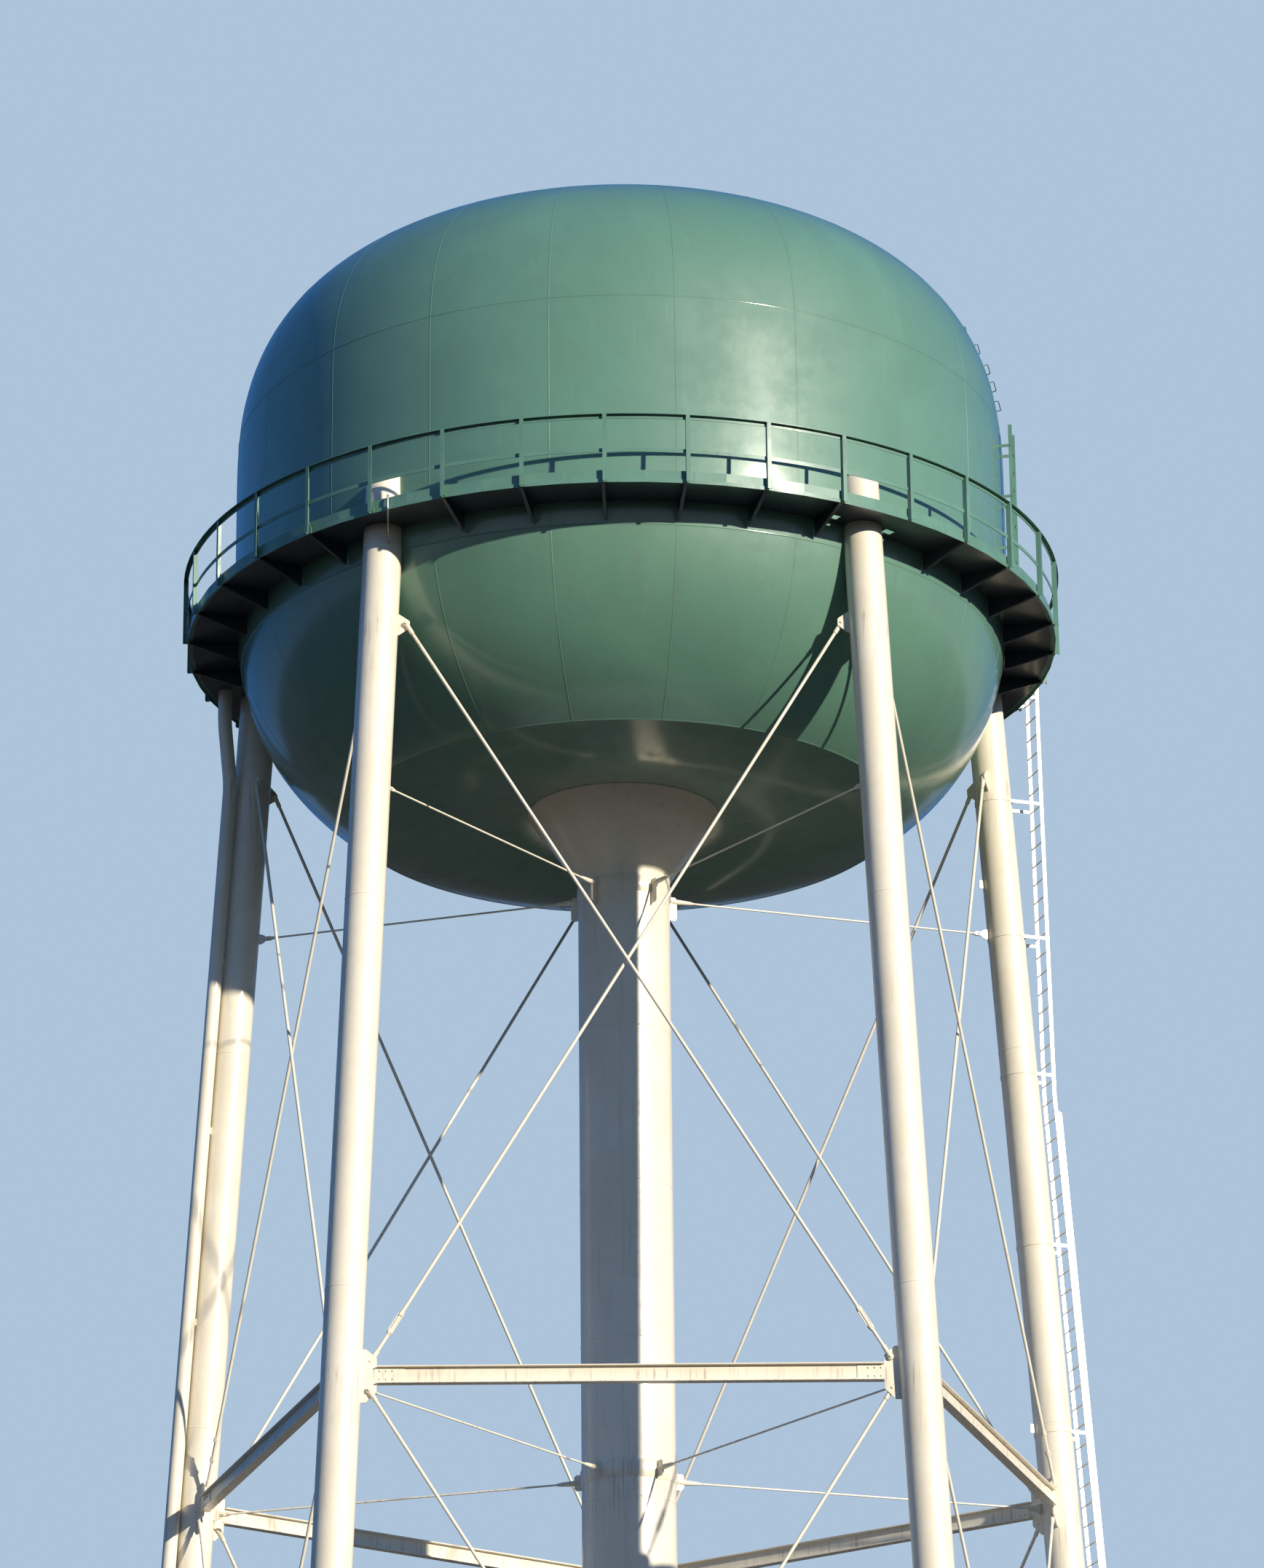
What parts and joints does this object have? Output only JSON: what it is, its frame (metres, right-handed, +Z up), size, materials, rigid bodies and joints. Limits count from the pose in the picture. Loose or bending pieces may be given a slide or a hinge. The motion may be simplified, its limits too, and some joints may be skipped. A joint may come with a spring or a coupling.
{
  "type": "water tower",
  "caption": "Elevated steel water tank with a rounded roof and bottom, on battered pipe legs with rod bracing around a central riser, with a railed balcony and ladders.",
  "frame": {"origin": "on the tower's axis at ground level, under the riser's footing", "axes": "+Z up; the pictured side faces -Y, and +X is to the right in it"},
  "size_m": [16.3156, 15.5171, 33.7053],
  "materials": {
    "tank_paint": "glossy muted green paint",
    "rail_paint": "glossy muted green paint",
    "leg_paint": "semi-gloss cream paint",
    "concrete": "cast concrete"
  },
  "bodies": {
    "root": {"tank_roof": "tank_paint", "tank_shell": "tank_paint", "tank_bowl": "tank_paint", "tank_knuckle_front": "tank_paint", "tank_knuckle_right": "tank_paint", "tank_knuckle_back": "tank_paint", "tank_knuckle_left": "tank_paint", "tank_bottom": "tank_paint", "roof_vent": "tank_paint", "roof_hatch": "tank_paint", "riser_bell": "leg_paint", "riser_pipe": "leg_paint", "riser_pier": "concrete", "balcony_floor": "rail_paint", "upper_tie_rods": "leg_paint", "lower_tie_rods": "leg_paint", "leg_ladder": "leg_paint", "ladder_head": "leg_paint", "tank_ladder": "rail_paint", "overflow_pipe": "leg_paint", "leg_1": "leg_paint", "leg_pier_1": "concrete", "strut_1": "leg_paint", "handrail_1": "rail_paint", "upper_rod_1a": "leg_paint", "upper_rod_1b": "leg_paint", "lower_rod_1a": "leg_paint", "lower_rod_1b": "leg_paint", "leg_2": "leg_paint", "leg_pier_2": "concrete", "strut_2": "leg_paint", "handrail_2": "rail_paint", "upper_rod_2a": "leg_paint", "upper_rod_2b": "leg_paint", "lower_rod_2a": "leg_paint", "lower_rod_2b": "leg_paint", "leg_3": "leg_paint", "leg_pier_3": "concrete", "strut_3": "leg_paint", "handrail_3": "rail_paint", "upper_rod_3a": "leg_paint", "upper_rod_3b": "leg_paint", "lower_rod_3a": "leg_paint", "lower_rod_3b": "leg_paint", "leg_4": "leg_paint", "leg_pier_4": "concrete", "strut_4": "leg_paint", "handrail_4": "rail_paint", "upper_rod_4a": "leg_paint", "upper_rod_4b": "leg_paint", "lower_rod_4a": "leg_paint", "lower_rod_4b": "leg_paint", "leg_5": "leg_paint", "leg_pier_5": "concrete", "strut_5": "leg_paint", "handrail_5": "rail_paint", "upper_rod_5a": "leg_paint", "upper_rod_5b": "leg_paint", "lower_rod_5a": "leg_paint", "lower_rod_5b": "leg_paint"}
  },
  "joints": []
}
